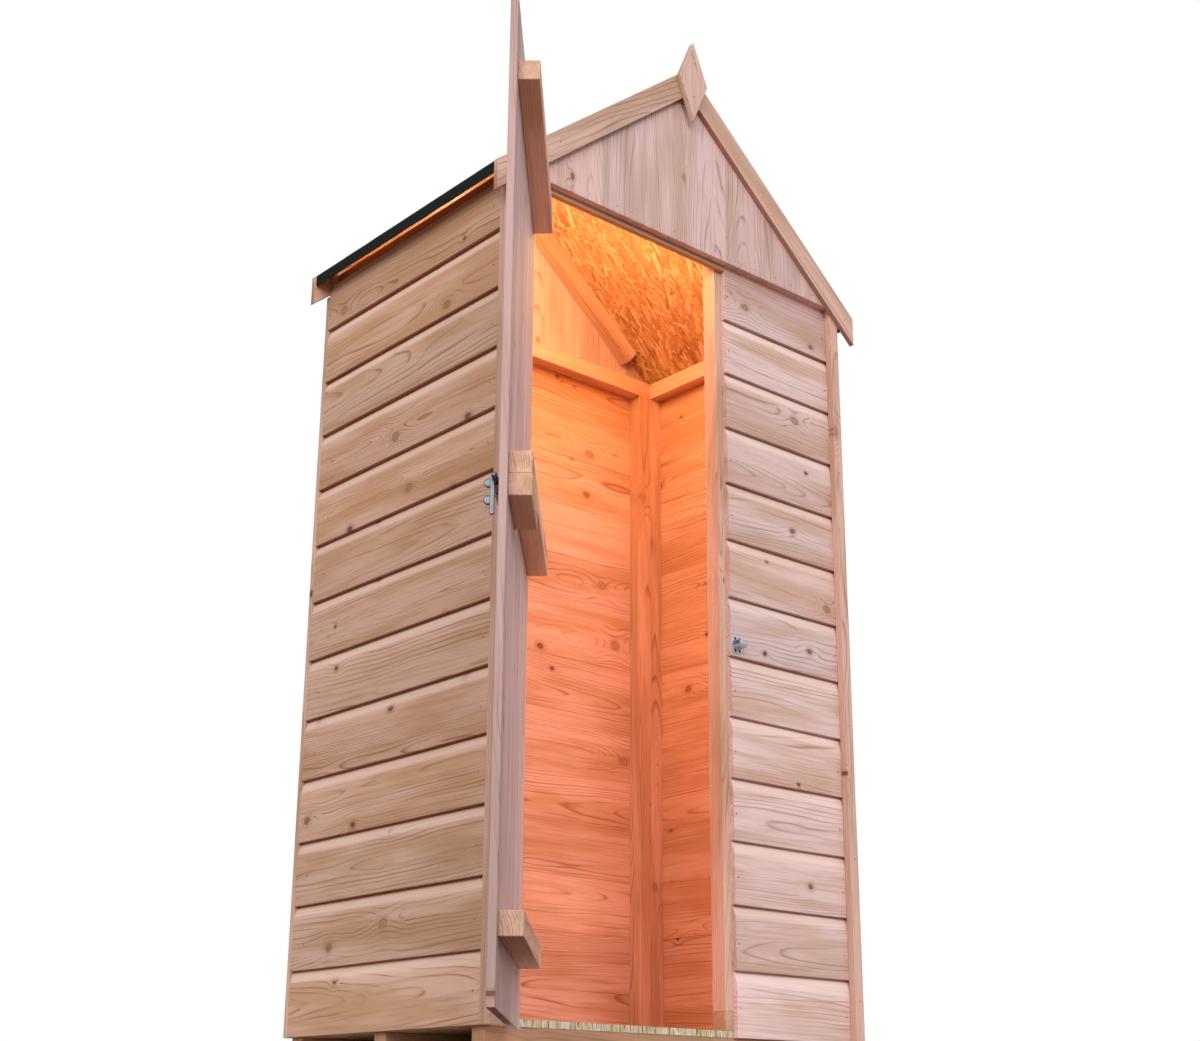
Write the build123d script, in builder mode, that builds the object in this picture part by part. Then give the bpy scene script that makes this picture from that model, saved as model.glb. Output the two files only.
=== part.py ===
# Small apex timber tool shed: base, framed walls, gables, felted roof,
# ledged door on two strap hinges and a sliding bolt with its keep.
# Millimetres, +Z up, the doorway faces -Y, the origin is at ground level
# under the middle of the base. The door stands open as built.
import os
from math import cos, radians, sin, tan

from build123d import *

os.makedirs("parts", exist_ok=True)

# ---- driving dimensions -------------------------------------------------
frame_t = 34.0          # square framing timber
clad_t = 12.0           # wall boards
half_w = 450.0          # outer face of a side wall from the centre line
half_in = half_w - clad_t            # outer face of the side framing
base_d = 575.0          # base and side boards, front to back
yf = -base_d / 2.0      # front face of the front framing
yb = yf + base_d        # back end of the side boards
bearer_h = 44.0
bearer_w = 34.0
floor_t = 12.0
floor_z = bearer_h + floor_t         # top of the floor sheet
cover = 118.0           # visible height of one wall board
clad_z0 = bearer_h      # bottom of the wall boards
clad_z1 = clad_z0 + 13.0 * cover     # top of the front boards (13 boards)
side_clad_top = 1559.0
rail_top = 1576.0       # top of the side and back top rails
rail_h = 37.0
rail_out = 1588.0       # outer top edge of a side rail, planed up to the roof board
back_in = yf + 517.5    # inner face of the back framing
back_clad_y = back_in + frame_t      # inner face of the back boards
back_skin = back_clad_y + clad_t     # outer face of the back boards

front_layer = 16.0      # front trims and front gable boards, on the boards
yg = yf - clad_t - front_layer       # their front face
barge_t = 12.0
finial_t = 14.0
pitch = radians(40.0)
ridge_z = 1980.0        # top of the felt and of the bargeboards at the ridge
felt_t = 3.0
osb_t = 10.0
eave_x = 482.0          # edge of the roof boards
barge_x = 488.0         # plumb-cut end of a bargeboard
barge_v = 62.0          # plumb height of a bargeboard
felt_lip = 24.0
trim_w = 23.0

panel_x0 = 122.0        # doorway edge of the fixed front panel's boards
jamb_x0 = 104.0         # reveal of the jamb post
header_z = 1568.0       # underside of the strip over the doorway
gable_z = 1578.0        # bottom edge of the front gable boards
gable_back_z = 1560.0

door_t = 12.0
door_u0, door_u1 = 4.0, 540.4        # hinge edge and free edge from the pin
door_z0, door_z1 = 34.0, 1558.0
door_v0 = 13.4          # outer face of the door boards behind the pin
ledge_u0, ledge_u1 = 40.0, 519.0
block_u0 = 370.0        # the short block under the middle ledge, behind the bolt
ledge_low_z = 126.0
ledge_mid_z = 774.0
ledge_top_z = 1420.0
pin_x = -423.4
pin_y = yf - 30.7
door_open = 132.0       # degrees from closed, as built
strap_len = 260.0
hinge_zs = (143.0, 1437.0)           # middle height of each hinge
bolt_z = 774.0
rod_r = 4.5
rod_v = 4.4             # rod axis from the pin line, square to the door
knuckle_r = 3.4

tp = tan(pitch)
felt_dz = felt_t / cos(pitch)
osb_dz = osb_t / cos(pitch)


def slab(x0, x1, y0, y1, z0, z1):
    """A rectangular board inside the current BuildPart."""
    with BuildSketch(Plane.XY.offset(z0)) as outline:
        with Locations(((x0 + x1) / 2.0, (y0 + y1) / 2.0)):
            Rectangle(x1 - x0, y1 - y0)
    extrude(outline.sketch, amount=z1 - z0)


def save(build, name):
    build.part.label = name
    export_step(build.part, "parts/%s.step" % name)


# ---- base ---------------------------------------------------------------
with BuildPart() as bearer_front:
    slab(-half_in, half_in, yf, yf + bearer_w, 0, bearer_h)
save(bearer_front, "bearer_front")

with BuildPart() as bearer_middle:
    slab(-half_in, half_in, -12.0, -12.0 + bearer_w, 0, bearer_h)
save(bearer_middle, "bearer_middle")

with BuildPart() as bearer_back:
    slab(-half_in, half_in, yb - bearer_w, yb, 0, bearer_h)
save(bearer_back, "bearer_back")

with BuildPart() as floor_sheet:
    slab(-half_in, half_in, yf, yb, bearer_h, floor_z)
save(floor_sheet, "floor_sheet")

# ---- side walls ---------------------------------------------------------
side_y1 = back_in + frame_t
for side, s in (("left", -1.0), ("right", 1.0)):
    xa, xb = sorted((s * half_in, s * half_w))
    with BuildPart() as cladding:
        slab(xa, xb, yf, yb, clad_z0, side_clad_top)
    save(cladding, "wall_boards_" + side)
    xa, xb = sorted((s * (half_in - frame_t), s * half_in))
    with BuildPart() as bottom_rail:
        slab(xa, xb, yf, side_y1, floor_z, floor_z + frame_t)
    save(bottom_rail, "bottom_rail_" + side)
    with BuildPart() as top_rail:
        with BuildSketch(Plane.XZ.offset(-back_skin)):
            with BuildLine():
                Polyline(
                    (s * (half_in - frame_t), rail_top - rail_h), (s * half_in, rail_top - rail_h),
                    (s * half_in, rail_out), (s * (half_in - frame_t), rail_top), close=True,
                )
            make_face()
        extrude(amount=back_skin - yf)
    save(top_rail, "top_rail_" + side)

post_z0 = floor_z + frame_t
post_z1 = rail_top - rail_h
in_x = half_in - frame_t             # inner face of the side framing

with BuildPart() as post_front_left:
    slab(-half_in, -in_x, yf, yf + frame_t, post_z0, post_z1)
save(post_front_left, "post_front_left")

with BuildPart() as post_front_right:
    slab(in_x, half_in, yf, yf + frame_t, post_z0, post_z1)
save(post_front_right, "post_front_right")

# each back corner is two battens side by side
with BuildPart() as post_back_left:
    slab(-half_in, -in_x + frame_t, back_in, side_y1, post_z0, post_z1)
save(post_back_left, "post_back_left")

with BuildPart() as post_back_right:
    slab(in_x - frame_t, half_in, back_in, side_y1, post_z0, post_z1)
save(post_back_right, "post_back_right")

# ---- back wall ----------------------------------------------------------
# the side rails run through to the gable, so the top board stops between them
with BuildPart() as wall_boards_back:
    slab(-half_in, half_in, back_clad_y, back_skin, floor_z, post_z1)
    slab(-in_x, in_x, back_clad_y, back_skin, post_z1, rail_top)
save(wall_boards_back, "wall_boards_back")

with BuildPart() as bottom_rail_back:
    slab(-in_x, in_x, back_in, side_y1, floor_z, post_z0)
save(bottom_rail_back, "bottom_rail_back")

with BuildPart() as top_rail_back:
    slab(-in_x, in_x, back_in, side_y1, post_z1, rail_top)
save(top_rail_back, "top_rail_back")

for side, s in (("left", -1.0), ("right", 1.0)):
    xa, xb = sorted((s * (half_in - trim_w), s * half_in))
    xc, xd = sorted((s * (half_in - trim_w), s * half_w))
    with BuildPart() as back_trim:
        slab(xa, xb, back_skin, yb, floor_z, gable_back_z)
        slab(xc, xd, yb, yb + clad_t, clad_z0, 1538.0)
    save(back_trim, "corner_trim_back_" + side)

# ---- front --------------------------------------------------------------
with BuildPart() as front_panel_boards:
    slab(panel_x0, half_w, yf - clad_t, yf, clad_z0, clad_z1)
save(front_panel_boards, "wall_boards_front")

with BuildPart() as header_strip:
    slab(-half_w + trim_w, panel_x0, yf - clad_t, yf, header_z, 1602.0)
save(header_strip, "header_strip")

with BuildPart() as corner_trim_front_left:
    slab(-half_w, -half_w + trim_w, yg, yf, clad_z0, gable_z)
save(corner_trim_front_left, "corner_trim_front_left")

with BuildPart() as corner_trim_front_right:
    slab(half_w - trim_w, half_w, yg, yf - clad_t, clad_z0, gable_z)
save(corner_trim_front_right, "corner_trim_front_right")

with BuildPart() as jamb_post:
    slab(jamb_x0, jamb_x0 + frame_t, yf, yf + frame_t, post_z0, 1594.0)
save(jamb_post, "jamb_post")

with BuildPart() as bottom_rail_front:
    slab(jamb_x0, in_x, yf, yf + frame_t, floor_z, post_z0)
save(bottom_rail_front, "bottom_rail_front")

with BuildPart() as gable_rail_front:
    slab(-380.0, 380.0, yf, yf + frame_t, 1594.0, 1594.0 + frame_t)
save(gable_rail_front, "gable_rail_front")


# ---- gables -------------------------------------------------------------
def roof_z(x, down):
    """Height of a line parallel to the slope, `down` mm (plumb) under it."""
    return ridge_z - down - tp * abs(x)


under = felt_dz + osb_dz             # plumb depth of felt and roof board
for name, y0, y1, zb in (
    ("gable_boards_front", yg, yf - clad_t, gable_z),
    ("gable_boards_back", back_skin, yb, gable_back_z),
):
    with BuildPart() as gable:
        with BuildSketch(Plane.XZ.offset(-y1)):
            with BuildLine():
                Polyline(
                    (-half_w, zb), (half_w, zb),
                    (half_w, roof_z(half_w, under)), (0, roof_z(0, under)),
                    (-half_w, roof_z(half_w, under)), close=True,
                )
            make_face()
        extrude(amount=y1 - y0)
    save(gable, name)

# battens under the roof boards on the inside of the back gable
batten_in = frame_t / cos(pitch)
for side, s in (("left", -1.0), ("right", 1.0)):
    with BuildPart() as rafter:
        with BuildSketch(Plane.XZ.offset(-back_skin)):
            with BuildLine():
                xa = 372.0
                xb = xa - frame_t * sin(pitch)
                Polyline(
                    (0, roof_z(0, under)), (s * xa, roof_z(xa, under)),
                    (s * xb, roof_z(xa, under) - frame_t * cos(pitch)),
                    (0, roof_z(0, under + batten_in)), close=True,
                )
            make_face()
        extrude(amount=clad_t + frame_t - 12.0)
    save(rafter, "gable_batten_" + side)

# ---- roof ---------------------------------------------------------------
for side, s in (("left", -1.0), ("right", 1.0)):
    with BuildPart() as roof_board:
        with BuildSketch(Plane.XZ.offset(-yb)):
            with BuildLine():
                Polyline(
                    (0, roof_z(0, felt_dz)), (s * eave_x, roof_z(eave_x, felt_dz)),
                    (s * eave_x, roof_z(eave_x, under)), (0, roof_z(0, under)),
                    close=True,
                )
            make_face()
        extrude(amount=yb - yg)
    save(roof_board, "roof_board_" + side)

# one sheet of felt over the ridge, turned down at both eaves
with BuildPart() as felt:
    with BuildSketch(Plane.XZ.offset(-yb)):
        with BuildLine():
            xe = eave_x + felt_t
            Polyline(
                (0, roof_z(0, 0)), (xe, roof_z(xe, 0)),
                (xe, roof_z(xe, felt_lip)), (eave_x, roof_z(xe, felt_lip)),
                (eave_x, roof_z(eave_x, felt_dz)), (0, roof_z(0, felt_dz)),
                (-eave_x, roof_z(eave_x, felt_dz)), (-eave_x, roof_z(xe, felt_lip)),
                (-xe, roof_z(xe, felt_lip)), (-xe, roof_z(xe, 0)), close=True,
            )
        make_face()
    extrude(amount=yb - yg)
save(felt, "roof_felt")

for end, y0, y1 in (("front", yg - barge_t, yg), ("back", yb, yb + barge_t)):
    for side, s in (("left", -1.0), ("right", 1.0)):
        with BuildPart() as barge:
            with BuildSketch(Plane.XZ.offset(-y1)):
                with BuildLine():
                    Polyline(
                        (0, roof_z(0, 0)), (s * barge_x, roof_z(barge_x, 0)),
                        (s * barge_x, roof_z(barge_x, barge_v)),
                        (0, roof_z(0, barge_v)), close=True,
                    )
                make_face()
            extrude(amount=y1 - y0)
        save(barge, "bargeboard_%s_%s" % (end, side))

for end, y0, y1 in (
    ("front", yg - barge_t - finial_t, yg - barge_t),
    ("back", yb + barge_t, yb + barge_t + finial_t),
):
    with BuildPart() as finial:
        with BuildSketch(Plane.XZ.offset(-y1)):
            with BuildLine():
                Polyline((0, 2035.0), (38.5, 1944.0), (0, 1853.0), (-38.5, 1944.0),
                         close=True)
            make_face()
        extrude(amount=y1 - y0)
    save(finial, "finial_" + end)

# ---- door, drawn along its own line from the hinge pin ------------------
ang = radians(-door_open)
along = (cos(ang), sin(ang), 0.0)


def door_plane(z):
    return Plane(origin=(pin_x, pin_y, z), x_dir=along, z_dir=(0, 0, 1))


def door_slab(u0, u1, v0, v1, z0, z1):
    with BuildSketch(door_plane(z0)) as outline:
        with Locations(((u0 + u1) / 2.0, (v0 + v1) / 2.0)):
            Rectangle(u1 - u0, v1 - v0)
    extrude(outline.sketch, amount=z1 - z0)


with BuildPart() as door_boards:
    door_slab(door_u0, door_u1, door_v0, door_v0 + door_t, door_z0, door_z1)
save(door_boards, "door_boards")

ledge_v0 = door_v0 + door_t
for name, u0, z0 in (
    ("door_ledge_bottom", ledge_u0, ledge_low_z),
    ("door_ledge_middle", ledge_u0, ledge_mid_z),
    ("door_ledge_top", ledge_u0, ledge_top_z),
    ("door_bolt_block", block_u0, ledge_mid_z - frame_t),
):
    with BuildPart() as ledge:
        door_slab(u0, ledge_u1, ledge_v0, ledge_v0 + frame_t, z0, z0 + frame_t)
    save(ledge, name)

# strap hinges: the door leaf turns on the pin of the frame leaf
for tag, hz in zip(("bottom", "top"), hinge_zs):
    with BuildPart() as strap:
        with BuildSketch(Plane(origin=(pin_x - sin(ang) * door_v0,
                                       pin_y + cos(ang) * door_v0, hz),
                               x_dir=along, z_dir=(sin(ang), -cos(ang), 0))):
            with BuildLine():
                Polyline((1.0, -15.0), (20.0, -15.0), (strap_len, -7.0),
                         (strap_len, 7.0), (20.0, 15.0), (1.0, 15.0), close=True)
            make_face()
        extrude(amount=2.0)
        door_slab(1.0, 4.0, 2.5, door_v0 - 1.0, hz - 15.0, hz + 15.0)
        with BuildSketch(door_plane(hz - 15.0)):
            Circle(knuckle_r)
        extrude(amount=30.0)
        with BuildSketch(door_plane(hz - 16.0)):
            Circle(2.08)
        extrude(amount=32.0, mode=Mode.SUBTRACT)
    save(strap, "hinge_strap_" + tag)
    with BuildPart() as frame_leaf:
        slab(-half_w + 1.0, -half_w + trim_w, yg - 2.0, yg, hz - 45.0, hz + 45.0)
        for za, zb in ((hz - 45.0, hz - 15.5), (hz + 15.5, hz + 45.0)):
            slab(-half_w + trim_w - 2.0, pin_x, yg - 4.5, yg, za, zb)
            with BuildSketch(Plane(origin=(pin_x, pin_y, za))):
                Circle(knuckle_r)
            extrude(amount=zb - za)
        with BuildSketch(Plane(origin=(pin_x, pin_y, hz - 44.0))):
            Circle(2.0)
        extrude(amount=88.0)
    save(frame_leaf, "hinge_leaf_" + tag)

# ---- sliding bolt -------------------------------------------------------
bolt_u0, bolt_u1 = 430.0, 490.0      # back plate
rod_u0, rod_u1 = 385.0, 514.0        # the rod, drawn back as built
grip_u0, grip_u1 = 492.0, 498.0      # the hanging grip, ahead of both guides


def on_door(u, v, z):
    """A point of the door in the shed's own axes."""
    return (pin_x + along[0] * u - sin(ang) * v, pin_y + along[1] * u + cos(ang) * v, z)


with BuildPart() as bolt_plate:
    door_slab(bolt_u0, bolt_u1, door_v0 - 2.0, door_v0, bolt_z - 16.0, bolt_z + 16.0)
    for ua in (434.0, 477.0):
        door_slab(ua, ua + 10.0, rod_v - 7.0, door_v0 - 2.0, bolt_z - 7.5, bolt_z + 7.5)
    with BuildSketch(Plane(origin=on_door(bolt_u0, rod_v, bolt_z), x_dir=(0, 0, 1), z_dir=along)):
        Circle(rod_r + 0.5)
    extrude(amount=bolt_u1 - bolt_u0, mode=Mode.SUBTRACT)
save(bolt_plate, "bolt_plate")

with BuildPart() as bolt_rod:
    with BuildSketch(Plane(origin=on_door(rod_u0, rod_v, bolt_z), x_dir=(0, 0, 1), z_dir=along)):
        Circle(rod_r)
    extrude(amount=rod_u1 - rod_u0)
    door_slab(grip_u0, grip_u1, -2.5, 4.5, bolt_z - 55.0, bolt_z + 4.0)
    for zk in (bolt_z - 7.0, bolt_z - 33.0):
        with BuildSketch(Plane(origin=on_door(grip_u0 + 0.5, -4.2, zk), x_dir=(0, 0, 1),
                               z_dir=along)):
            Circle(7.5)
        extrude(amount=grip_u1 - grip_u0 - 1.0)
save(bolt_rod, "bolt_rod")

keep_y = pin_y + rod_v               # rod axis with the door shut
with BuildPart() as bolt_keep:
    slab(panel_x0 + 1.0, panel_x0 + 28.0, yf - clad_t - 2.0, yf - clad_t,
         bolt_z - 16.5, bolt_z + 16.5)
    slab(panel_x0 + 3.0, panel_x0 + 24.0, keep_y - 7.0, yf - clad_t - 2.0,
         bolt_z - 8.0, bolt_z + 8.0)
    with BuildSketch(Plane.YZ.offset(panel_x0)):
        with Locations((keep_y, bolt_z)):
            Circle(rod_r + 1.2)
    extrude(amount=50.0, mode=Mode.SUBTRACT)
save(bolt_keep, "bolt_keep")
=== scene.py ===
import math
import random

import bmesh
import bpy
from mathutils import Matrix, Vector, noise


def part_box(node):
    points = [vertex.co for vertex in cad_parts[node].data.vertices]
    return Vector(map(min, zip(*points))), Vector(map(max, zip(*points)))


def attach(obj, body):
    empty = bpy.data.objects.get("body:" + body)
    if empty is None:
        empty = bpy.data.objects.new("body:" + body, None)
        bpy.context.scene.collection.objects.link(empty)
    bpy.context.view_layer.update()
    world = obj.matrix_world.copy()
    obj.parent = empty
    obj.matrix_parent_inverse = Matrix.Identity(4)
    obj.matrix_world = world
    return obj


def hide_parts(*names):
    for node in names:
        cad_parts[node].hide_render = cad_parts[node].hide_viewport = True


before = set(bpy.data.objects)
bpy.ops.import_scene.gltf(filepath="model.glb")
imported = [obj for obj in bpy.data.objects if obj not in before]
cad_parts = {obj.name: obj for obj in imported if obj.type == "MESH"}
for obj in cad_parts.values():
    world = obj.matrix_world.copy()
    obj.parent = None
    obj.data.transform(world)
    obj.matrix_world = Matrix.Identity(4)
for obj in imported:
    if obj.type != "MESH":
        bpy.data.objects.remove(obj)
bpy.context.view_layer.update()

NODES = [o for o in bpy.data.objects if o.type == "MESH"]

MM = 0.001
YF, YB = -287.5, 287.5
YG = YF - 28.0
T40 = math.tan(math.radians(40.0))
S40, C40 = math.sin(math.radians(40.0)), math.cos(math.radians(40.0))
RIDGE = 1980.0
FELT_DZ = 3.0 / C40
UNDER = 13.0 / C40


def roof_z(x, down):
    return RIDGE - down - T40 * abs(x)


# ------------------------------------------------------------------ meshes
class Mesh:
    """Collects vertices with a wood coordinate (along, across, depth in m), a tone and a painted light value (above
    zero painted shade, below zero painted highlight).
    """

    def __init__(self):
        self.v, self.f, self.wc, self.tn, self.painted_light = [], [], [], [], []

    def add(self, pts, wcs, tone, painted_light=None):
        base = len(self.v)
        self.painted_light += painted_light or [0.0] * len(pts)
        self.v += [(x * MM, y * MM, z * MM) for x, y, z in pts]
        self.wc += wcs
        self.tn += [tone] * len(pts)
        return base

    def build(self, name, mat, body, node=(), sharp=35.0):
        me = bpy.data.meshes.new(name)
        me.from_pydata(self.v, [], self.f)
        me.validate()
        a = me.attributes.new("wc", "FLOAT_VECTOR", "POINT")
        a.data.foreach_set("vector", [c for w in self.wc for c in w])
        t = me.attributes.new("tone", "FLOAT_VECTOR", "POINT")
        t.data.foreach_set("vector", [c for w in self.tn for c in w])
        q = me.attributes.new("painted_light", "FLOAT", "POINT")
        q.data.foreach_set("value", self.painted_light)
        bm = bmesh.new()
        bm.from_mesh(me)
        bmesh.ops.recalc_face_normals(bm, faces=bm.faces)
        lim = math.radians(sharp)
        for f in bm.faces:
            f.smooth = True
        for e in bm.edges:
            if len(e.link_faces) == 2:
                e.smooth = e.calc_face_angle(0.0) < lim
        bm.to_mesh(me)
        bm.free()
        ob = bpy.data.objects.new(name, me)
        bpy.context.scene.collection.objects.link(ob)
        me.materials.append(mat)
        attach(ob, body)
        if node:
            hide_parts(*node)
        return ob


def inset(prof, d):
    """Polygon moved inwards by d (counter-clockwise points)."""
    n, out = len(prof), []
    for i in range(n):
        p0, p1, p2 = Vector(prof[i - 1]), Vector(prof[i]), Vector(prof[(i + 1) % n])
        a, b = (p1 - p0), (p2 - p1)
        if a.length < 1e-9 or b.length < 1e-9:
            out.append(tuple(p1))
            continue
        a.normalize()
        b.normalize()
        na, nb = Vector((-a.y, a.x)), Vector((-b.y, b.x))
        m = na + nb
        k = m.length_squared
        if k < 0.15:
            out.append(tuple(p1 + na * d))
        else:
            out.append(tuple(p1 + m * (2.0 * d / k)))
    return out


def ccw(prof):
    s = sum(prof[i - 1][0] * prof[i][1] - prof[i][0] * prof[i - 1][1] for i in range(len(prof)))
    return prof if s > 0 else prof[::-1]


class Grain:
    """Maps a board's own (along, across, depth) in mm to the wood texture space."""

    def __init__(self, rnd, flat=True, width=118.0):
        self.so = rnd.uniform(0, 9.0)
        if flat:
            self.pb = rnd.uniform(-0.05, 0.05)
            self.pc = rnd.choice((-1, 1)) * rnd.uniform(0.006, 0.045)
        else:
            self.pb = rnd.uniform(-0.03, 0.03)
            self.pc = rnd.choice((-1, 1)) * rnd.uniform(0.015, 0.05)
        self.kb = rnd.uniform(-0.03, 0.03)
        self.kc = rnd.uniform(-0.05, 0.05)
        self.w = width
        self.tone = (rnd.random(), rnd.random(), rnd.random())

    def at(self, s, u, v):
        sm = s * MM
        return (sm + self.so, (u - self.w / 2) * MM + self.pb + self.kb * (sm - 0.3),
                v * MM + self.pc + self.kc * (sm - 0.3))


def prism(M, prof, s0, s1, place, g, cham=0.8, n=1, wave=0.0, seed=0, gmap=None, painted_light=None):
    """Lofts prof (u, v) from s0 to s1 with chamfered ends, closed both ends."""
    prof = ccw([tuple(p) for p in prof])
    small = inset(prof, cham)
    ss = [(s0, small), (s0 + cham, prof)]
    for i in range(1, n):
        ss.append((s0 + (s1 - s0) * i / n, prof))
    ss += [(s1 - cham, prof), (s1, small)]
    bases = []
    last = len(ss) - 1
    for k, (s, pr) in enumerate(ss):
        du = dv = 0.0
        if wave:
            du = wave * noise.noise((s * 0.004, seed * 3.1, 1.7))
            dv = wave * noise.noise((s * 0.005, seed * 5.3, 7.7))
        pts = [place(s, u + du, v + dv) for u, v in pr]
        wcs = [(gmap or g.at)(s, u, v) for u, v in pr]
        bases.append(M.add(pts, wcs, g.tone, [painted_light(u, v) for u, v in prof] if painted_light and 0 < k < last else None))
    k = len(prof)
    for a, b in zip(bases, bases[1:]):
        for i in range(k):
            j = (i + 1) % k
            M.f.append((a + i, a + j, b + j, b + i))
    M.f.append(tuple(bases[0] + i for i in range(k))[::-1])
    M.f.append(tuple(bases[-1] + i for i in range(k)))


def rect(u0, u1, v0, v1, c=0.9):
    """A rectangle with small chamfers, counter-clockwise."""
    return [(u0 + c, v0), (u1 - c, v0), (u1, v0 + c), (u1, v1 - c),
            (u1 - c, v1), (u0 + c, v1), (u0, v1 - c), (u0, v0 + c)]


# --------------------------------------------------------------- materials
def lin(r, g, b):
    def f(c):
        c /= 255.0
        return c / 12.92 if c <= 0.04045 else ((c + 0.055) / 1.055) ** 2.4
    return (f(r), f(g), f(b), 1.0)


class Tree:
    def __init__(self, name):
        self.mat = bpy.data.materials.new(name)
        self.mat.use_nodes = True
        self.t = self.mat.node_tree
        self.t.nodes.clear()
        self.out = self.t.nodes.new("ShaderNodeOutputMaterial")
        self.bsdf = self.t.nodes.new("ShaderNodeBsdfPrincipled")
        self.t.links.new(self.bsdf.outputs[0], self.out.inputs[0])

    def node(self, kind, **props):
        n = self.t.nodes.new(kind)
        for k, v in props.items():
            setattr(n, k, v)
        return n

    def put(self, socket, value):
        if isinstance(value, bpy.types.NodeSocket):
            self.t.links.new(value, socket)
        else:
            socket.default_value = value

    def m(self, op, a, b=None, c=None, clamp=False):
        n = self.node("ShaderNodeMath", operation=op, use_clamp=clamp)
        for i, x in enumerate((a, b, c)):
            if x is not None:
                self.put(n.inputs[i], x)
        return n.outputs[0]

    def attr(self, name):
        return self.node("ShaderNodeAttribute", attribute_name=name).outputs["Vector"]

    def split(self, vec):
        n = self.node("ShaderNodeSeparateXYZ")
        self.put(n.inputs[0], vec)
        return n.outputs[0], n.outputs[1], n.outputs[2]

    def join(self, x, y, z):
        n = self.node("ShaderNodeCombineXYZ")
        for i, v in enumerate((x, y, z)):
            self.put(n.inputs[i], v)
        return n.outputs[0]

    def scale(self, vec, s):
        n = self.node("ShaderNodeVectorMath", operation="MULTIPLY")
        self.put(n.inputs[0], vec)
        self.put(n.inputs[1], s)
        return n.outputs[0]

    def noise(self, vec, scale=1.0, detail=2.0, rough=0.5, dist=0.0):
        n = self.node("ShaderNodeTexNoise")
        self.put(n.inputs["Vector"], vec)
        n.inputs["Scale"].default_value = scale
        n.inputs["Detail"].default_value = detail
        n.inputs["Roughness"].default_value = rough
        n.inputs["Distortion"].default_value = dist
        return n.outputs["Fac"]

    def ramp(self, fac, stops, interp="LINEAR"):
        n = self.node("ShaderNodeValToRGB")
        n.color_ramp.interpolation = interp
        els = n.color_ramp.elements
        while len(els) > 1:
            els.remove(els[0])
        for i, (p, c) in enumerate(stops):
            e = els[0] if i == 0 else els.new(p)
            e.position = p
            e.color = c if isinstance(c, tuple) else (c, c, c, 1.0)
        self.put(n.inputs[0], fac)
        return n.outputs[0]

    def mix(self, fac, a, b, mode="MIX"):
        n = self.node("ShaderNodeMix", data_type="RGBA", blend_type=mode)
        self.put(n.inputs[0], fac)
        self.put(n.inputs[6], a)
        self.put(n.inputs[7], b)
        return n.outputs[2]

    def smooth(self, x, a, b):
        n = self.node("ShaderNodeMapRange", interpolation_type="SMOOTHSTEP")
        self.put(n.inputs[0], x)
        n.inputs[1].default_value = a
        n.inputs[2].default_value = b
        n.inputs[3].default_value = 0.0
        n.inputs[4].default_value = 1.0
        return n.outputs[0]


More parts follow.
